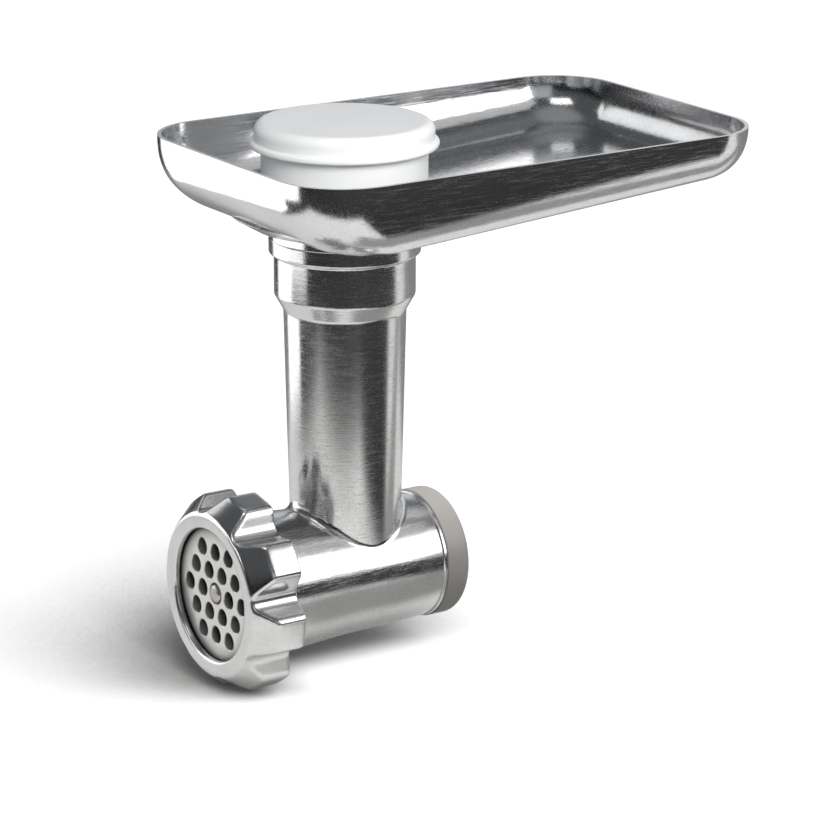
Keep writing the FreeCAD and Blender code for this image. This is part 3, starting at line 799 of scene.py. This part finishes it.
@dataclass
class ScrewRing(SubAssembly):
    """The lobed ring nut; sizes in millimetres."""

    bore_r: float = 29.5
    front: float = -92.0
    rear: float = -82.4
    ridge_sink: float = 0.15
    ridge_height: float = 0.22
    grid: float = 0.42
    softening: int = 32
    soft_share: float = 0.5

    def coats(self) -> dict[str, Finish]:
        """The finish of each CAD node."""
        return {"screw_ring": CAST_RING}

    def build(self) -> None:
        """Models the ring with the soft edges of a casting, and the shallow thread in its bore."""
        ring = Workshop.copy_of(self.frame["nodes"]["screw_ring"], "cast_ring")
        Workshop.apply(ring, "REMESH", mode="VOXEL", voxel_size=self.grid * MM)
        Workshop.apply(ring, "SMOOTH", factor=self.soft_share, iterations=self.softening)
        bpy.ops.object.shade_smooth()
        self.add(ring, Body.RING, Slot.CAST, CAST_RING, "screw_ring")
        root, crest = self.bore_r + self.ridge_sink, self.bore_r - self.ridge_height
        thread = Thread("ring_thread", root, crest, self.front, self.rear)
        self.add(thread.build(), Body.RING, Slot.CAST, CAST_RING)


@dataclass
class FeedTray(SubAssembly):
    """The pressed tray."""

    def coats(self) -> dict[str, Finish]:
        """The finish of each CAD node."""
        return {"feed_tray": PRESSED}


@dataclass
class Pusher(SubAssembly):
    """The hollow pusher and its lid."""

    def coats(self) -> dict[str, Finish]:
        """The finish of each CAD node."""
        return {"pusher_body": WHITE, "pusher_lid": WHITE}


# Studio


@dataclass
class PhotoCamera:
    """The camera of the photograph, fitted to its outlines."""

    place: tuple[float, float, float] = (-0.7696, -1.1432, 0.4645)
    azimuth: float = 33.58
    elevation: float = 16.59
    roll: float = 0.16
    lens: float = 164.77
    sensor: float = 36.0
    clip: Range = (0.01, 50.0)

    def ahead(self) -> Vector:
        """Level direction from the camera to the object."""
        turn = math.radians(self.azimuth)
        return Vector((math.sin(turn), math.cos(turn), 0.0))

    def right(self) -> Vector:
        """Level direction to the right of the picture."""
        turn = math.radians(self.azimuth)
        return Vector((math.cos(turn), -math.sin(turn), 0.0))

    def towards(self, bearing: float) -> Vector:
        """Level direction from the object at a bearing in degrees, from the camera's side to the right."""
        turn = math.radians(bearing)
        return self.right() * math.sin(turn) - self.ahead() * math.cos(turn)

    def build(self) -> bpy.types.Object:
        """Adds the camera and makes it the scene's own.

        Returns:
            The camera.
        """
        tilt = math.radians(self.elevation)
        look = self.ahead() * math.cos(tilt) - Vector((0, 0, math.sin(tilt)))
        data = bpy.data.cameras.new("photo_camera")
        data.lens = self.lens
        data.sensor_width = self.sensor
        data.clip_start, data.clip_end = self.clip
        camera = bpy.data.objects.new("photo_camera", data)
        bpy.context.scene.collection.objects.link(camera)
        turned = look.to_track_quat("-Z", "Y").to_matrix().to_4x4()
        rolled = turned @ Matrix.Rotation(math.radians(self.roll), 4, "Z")
        camera.matrix_world = Matrix.Translation(self.place) @ rolled
        bpy.context.scene.camera = camera
        return camera


@dataclass
class SoftBox:
    """A soft lamp: its bearing from the camera's side to the right, its place, size and brightness."""

    name: str
    bearing: float
    distance: float
    height: float
    width: float
    tall: float
    radiance: float
    upright: bool = True
    mirrored: bool = True
    lights: bool = True
    only: str = ""

    def build(self, camera: PhotoCamera, centre: Vector, frame: dict[str, Any]) -> bpy.types.Object:
        """Adds the lamp, facing the object.

        Args:
            camera: The camera whose side the bearing is measured from.
            centre: The point the lamp faces; an upright lamp faces its axis.
            frame: The CAD frame, for a lamp that lights one node only.

        Returns:
            The lamp.
        """
        level = camera.towards(self.bearing)
        place = Vector((centre.x, centre.y, 0.0)) + level * self.distance + Vector((0, 0, self.height))
        facing = -level if self.upright else centre - place
        data = bpy.data.lights.new(self.name, "AREA")
        data.shape = "RECTANGLE"
        data.size = self.width
        data.size_y = self.tall
        data.energy = self.radiance * math.pi * self.width * self.tall
        lamp = bpy.data.objects.new(self.name, data)
        bpy.context.scene.collection.objects.link(lamp)
        lamp.location = place
        lamp.rotation_euler = facing.to_track_quat("-Z", "Y").to_euler()
        lamp.visible_glossy = self.mirrored
        lamp.visible_diffuse = self.lights
        lamp.visible_camera = False
        if self.only:
            lit = bpy.data.collections.new(self.name)
            lit.objects.link(frame["nodes"][self.only])
            lamp.light_linking.receiver_collection = lit
            lamp.light_linking.blocker_collection = lit
        return lamp


@dataclass
class FloorSheet:
    """A white sheet with a painted shadow of the object for the camera, and painted light and shade round the object
    in reflections; it glows though it is no lamp; sizes in metres.

    A span is where a part fades in or out.
    """

    camera: PhotoCamera
    size: float = 14.0
    front: float = 0.26
    rear: float = 0.24
    right: float = 0.14
    left: float = 0.28
    end_fade: float = 0.06
    left_fade: float = 0.05
    right_fade: float = 0.03
    right_start: Range = (-0.03, 0.04)
    strip_near: Range = (-0.14, -0.1)
    strip_far: Range = (-0.015, -0.04)
    strip_start: Range = (-0.04, 0.0)
    part_loss: float = 0.6
    far_tone: float = 0.04
    close_reach: float = 0.03
    close_span: Range = (0.2, 0.9)
    painted_contact_shade: Range = (0.12, 0.62)
    bounce: float = 0.3
    glow: float = 0.5
    paper: float = 0.3
    warmth: Colour = (1.0, 0.985, 0.96)
    shadow_bearing: float = 42.0
    shadow_rise: float = 0.15
    shadow_reach: float = 0.18
    shadow_span: Range = (0.68, 0.98)
    shadow_rays: int = 12
    rear_reach: float = 0.055
    rear_span: Range = (0.5, 0.95)
    rear_rays: int = 6
    contact_span: Range = (0.05, 0.4)
    clear_depth: Range = (0.016, -0.012)
    clear_start: Range = (-0.05, -0.015)
    clear_share: float = 0.95

    def shelter(self, graph: Graph, bearing: float, reach: float, samples: int) -> bpy.types.NodeSocket:
        """How open the sheet lies towards a made-up low light, for the painted shadow.

        Args:
            graph: The sheet's node tree.
            bearing: Where the light comes from, from the camera's side to the right.
            reach: How far an obstacle counts.
            samples: Rays for each point.

        Returns:
            An output that is 1 in the open.
        """
        lean = self.camera.towards(bearing)
        lean.z = self.shadow_rise
        return graph.openness(reach, samples, Normal=graph.fixed(lean.normalized()))

    def painted_light_and_shade(self, graph: Graph, place: Any, along: Any, close: Any) -> bpy.types.NodeSocket:
        """Brightness of the sheet in reflections, painted: a pool of light round the object with painted contact
        shade under it and a painted shadow band beside the barrel, and dark further out.

        Args:
            graph: The sheet's node tree.
            place: The place on the sheet.
            along: The place's X and Y, along and across the barrel.
            close: How open the place lies under the object.

        Returns:
            A brightness.
        """
        nearer = graph.dot(place, -self.camera.ahead())
        aside = graph.dot(place, self.camera.right())
        fade = self.end_fade
        front = graph.ramp(nearer, self.front - fade, self.front + fade)
        rear = graph.ramp(nearer, fade - self.rear, -fade - self.rear, 0.0, self.part_loss)
        left = graph.ramp(aside, self.left_fade - self.left, -self.left_fade - self.left)
        right = graph.ramp(aside, self.right - self.right_fade, self.right + self.right_fade)
        right = graph.math("MULTIPLY", right, graph.ramp(nearer, *self.right_start))
        # Painted shadow beside the barrel, in front and to the right.
        painted_shade_band = graph.math(
            "MULTIPLY", graph.ramp(along["Y"], *self.strip_far), graph.ramp(along["Y"], *self.strip_near),
            graph.ramp(along["X"], *self.strip_start), self.part_loss,
        )
        far = graph.math("MAXIMUM", front, rear, left, right, painted_shade_band)
        # Painted contact shade under the object.
        shade = graph.ramp(close, *self.close_span, *self.painted_contact_shade)
        return graph.math("MULTIPLY", shade, graph.ramp(far, 0.0, 1.0, 1.0, self.far_tone))

    def shadow(self, graph: Graph, along: Any, close: Any) -> bpy.types.NodeSocket:
        """The object's shadow as painted for the camera: openness towards a made-up low light at the right and
        towards the camera's side, painted contact shade under the object, and none in front of the barrel.

        Args:
            graph: The sheet's node tree.
            along: The place's X and Y, along and across the barrel.
            close: How open the place lies under the object.

        Returns:
            An output that is 1 where no shadow is painted.
        """
        side = self.shelter(graph, self.shadow_bearing, self.shadow_reach, self.shadow_rays)
        rear = self.shelter(graph, 0.0, self.rear_reach, self.rear_rays)
        lit = graph.math(
            "MULTIPLY", graph.ramp(side, *self.shadow_span), graph.ramp(rear, *self.rear_span),
            graph.ramp(close, *self.contact_span),
        )
        # The painted shadow is taken out by place, in front of the barrel.
        clear = graph.ramp(along["Y"], *self.clear_depth, 0.0, self.clear_share)
        clear = graph.math("MULTIPLY", clear, graph.ramp(along["X"], *self.clear_start))
        return graph.math("MAXIMUM", lit, clear)

    def coat(self) -> bpy.types.Material:
        """The sheet's material: matt paper that glows to the camera with a painted shadow, and shows painted light
        and shade in reflections.

        Returns:
            The material.
        """
        made = bpy.data.materials.new("white_sheet")
        made.use_nodes = True
        made.node_tree.nodes.clear()
        graph = Graph(made.node_tree)
        place = graph.add("ShaderNodeTexCoord").outputs["Object"]
        along = graph.put(graph.add("ShaderNodeSeparateXYZ"), Vector=place).outputs
        ray = graph.add("ShaderNodeLightPath").outputs
        close = graph.openness(self.close_reach, FEW_RAYS)
        painted_light_and_shade = self.painted_light_and_shade(graph, place, along, close)
        bounce = graph.ramp(ray["Is Diffuse Ray"], 0.0, 1.0, 1.0, self.bounce)
        # Rays other than the camera's see the painted light and shade as the sheet's colour.
        unseen = graph.math("MULTIPLY", painted_light_and_shade, graph.math("SUBTRACT", 1.0, ray["Is Camera Ray"]), bounce)
        white = graph.math("ADD", graph.math("MULTIPLY", ray["Is Camera Ray"], self.paper), unseen)
        red, green, blue = (graph.math("MULTIPLY", white, part) for part in self.warmth)
        tone = graph.put(graph.add("ShaderNodeCombineColor"), Red=red, Green=green, Blue=blue)
        matt = graph.put(graph.add("ShaderNodeBsdfDiffuse"), Color=tone.outputs[0])
        # The sheet glows to the camera, with the painted shadow in its glow; the sheet is no lamp.
        shown = graph.math("MULTIPLY", ray["Is Camera Ray"], self.shadow(graph, along, close))
        # Painted light: the sheet glows in reflections, though it is no lamp.
        mirrored = graph.math("MULTIPLY", painted_light_and_shade, self.glow, ray["Is Glossy Ray"])
        glow = graph.add("ShaderNodeEmission")
        graph.put(glow, Color=rgba(PURE_WHITE), Strength=graph.math("ADD", shown, mirrored))
        both = graph.put(graph.add("ShaderNodeAddShader"), i0=matt.outputs[0], i1=glow.outputs[0])
        graph.put(graph.add("ShaderNodeOutputMaterial"), Surface=both.outputs[0])
        return made

    def build(self, centre: Vector, level: float) -> bpy.types.Object:
        """Adds the sheet.

        Args:
            centre: A point over its middle.
            level: Its height.

        Returns:
            The sheet.
        """
        bpy.ops.object.select_all(action="DESELECT")
        bpy.ops.mesh.primitive_plane_add(size=self.size, location=(centre.x, centre.y, level))
        floor = bpy.context.object
        floor.name = "floor"
        floor.data.materials.append(self.coat())
        floor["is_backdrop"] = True
        return floor


@dataclass
class Room:
    """White to the camera, an even fill for matt surfaces, and a dim room in reflections.

    A span is where a part fades in or out, in the sine of its height or of its turn.
    """

    camera: PhotoCamera
    fill: Range = (0.5, 0.14)
    fill_span: Range = (0.3, 0.9)
    wall_behind: Range = (0.035, 1.0)
    wall_behind_span: Range = (0.0, 0.6)
    wall_sides: Range = (0.15, 0.9)
    wall_sides_span: Range = (-0.35, 0.25)
    wall_foot: Range = (0.45, 1.0)
    wall_foot_span: Range = (0.0, 0.25)
    wall_top: Range = (1.0, 0.08)
    wall_top_span: Range = (0.3, 0.65)
    overhead: float = 0.18
    overhead_span: Range = (0.82, 0.97)
    sky: float = 0.08
    sky_span: Range = (0.15, 0.45)
    panel: float = 0.36
    panel_front_span: Range = (0.5, 0.7)
    panel_side_span: Range = (0.04, 0.2)
    panel_foot_span: Range = (0.04, 0.16)
    panel_top_span: Range = (0.66, 0.54)
    cool: Colour = (0.92, 0.96, 1.0)

    def mirrored(self, graph: Graph, heading: Any, rise: Any) -> bpy.types.NodeSocket:
        """Brightness of the room in reflections.

        Args:
            graph: The world's node tree.
            heading: Direction from the object.
            rise: Its upward part.

        Returns:
            A brightness.
        """
        across = graph.dot(heading, self.camera.right())
        behind = graph.dot(heading, self.camera.ahead())
        before = graph.dot(heading, -self.camera.ahead())
        wall = graph.math(
            "MULTIPLY", graph.ramp(behind, *self.wall_behind_span, *self.wall_behind),
            graph.ramp(across, *self.wall_sides_span, *self.wall_sides),
            graph.ramp(rise, *self.wall_top_span, *self.wall_top),
            graph.ramp(rise, *self.wall_foot_span, *self.wall_foot),
        )
        overhead = graph.ramp(rise, *self.overhead_span, 0.0, self.overhead)
        sky = graph.ramp(rise, *self.sky_span, 0.0, self.sky)
        panel = graph.math(
            "MULTIPLY", graph.ramp(before, *self.panel_front_span, 0.0, self.panel),
            graph.ramp(across, *self.panel_side_span), graph.ramp(rise, *self.panel_foot_span),
            graph.ramp(rise, *self.panel_top_span),
        )
        return graph.math("ADD", wall, overhead, sky, panel)

    def build(self) -> bpy.types.World:
        """Sets the world.

        Returns:
            The world.
        """
        world = bpy.data.worlds.new("room")
        bpy.context.scene.world = world
        world.use_nodes = True
        graph = Graph(world.node_tree)
        ray = graph.add("ShaderNodeLightPath").outputs
        heading = graph.add("ShaderNodeTexCoord").outputs["Generated"]
        rise = graph.dot(heading, Vector((0, 0, 1)))
        level = graph.ramp(rise, *self.fill_span, *self.fill)
        fill = graph.math("MULTIPLY", ray["Is Diffuse Ray"], level)
        seen = graph.math("MULTIPLY", ray["Is Glossy Ray"], self.mirrored(graph, heading, rise))
        plain = graph.math("MAXIMUM", ray["Is Camera Ray"], ray["Is Transmission Ray"])
        colour = graph.tint(plain, rgba(self.cool), rgba(PURE_WHITE))
        back = world.node_tree.nodes["Background"]
        graph.put(back, Color=colour, Strength=graph.math("ADD", fill, seen, plain))
        return world


@dataclass
class Studio:
    """Camera, floor, soft lamps and room round the object; sizes in metres."""

    frame: dict[str, Any]
    camera: PhotoCamera = field(default_factory=PhotoCamera)
    centre: Vector = field(default_factory=lambda: Vector((-0.04, 0.0, 0.12)))
    lamps: tuple[SoftBox, ...] = (
        SoftBox("left_box", -112, 0.32, 0.078, 0.23, 0.226, 1.5, lights=False),
        SoftBox("left_low_box", -77, 0.32, 0.08, 0.19, 0.08, 1.6, lights=False),
        SoftBox("left_high_box", -132, 0.42, 0.36, 0.2, 0.2, 0.9, lights=False),
        SoftBox("right_box", 75, 1.2, 0.56, 0.9, 0.76, 2.6),
        SoftBox("right_high_box", 78, 1.2, 1.3, 0.9, 0.7, 0.45, lights=False),
        SoftBox("top_box", 0, 0.22, 0.53, 0.3, 0.15, 1.6, upright=False),
        SoftBox("hub_box", 165, 0.14, 0.46, 0.16, 0.1, 62.0, upright=False, mirrored=False, only="rear_hub"),
        SoftBox("front_key", 16, 1.4, 1.0, 0.9, 0.7, 11.5, upright=False, mirrored=False),
    )

    def build(self, level: float) -> None:
        """Adds the camera, floor, lamps and world.

        Args:
            level: Height of the floor.
        """
        self.camera.build()
        FloorSheet(self.camera).build(self.centre, level)
        for lamp in self.lamps:
            lamp.build(self.camera, self.centre, self.frame)
        Room(self.camera).build()
        bpy.context.scene.view_settings.view_transform = "Standard"


def main() -> None:
    """Builds the dressed model in its studio."""
    logging.basicConfig(level=logging.INFO, format="%(name)s: %(message)s")
    for old in list(bpy.data.objects):
        bpy.data.objects.remove(old)
    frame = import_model()
    low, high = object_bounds()
    for kind in (CastBody, RearHub, DriveTrain, CuttingSet, ScrewRing, FeedTray, Pusher):
        made = kind(frame)
        made.dress()
        made.build()
    Studio(frame).build(low.z)


if __name__ == "__main__":
    main()
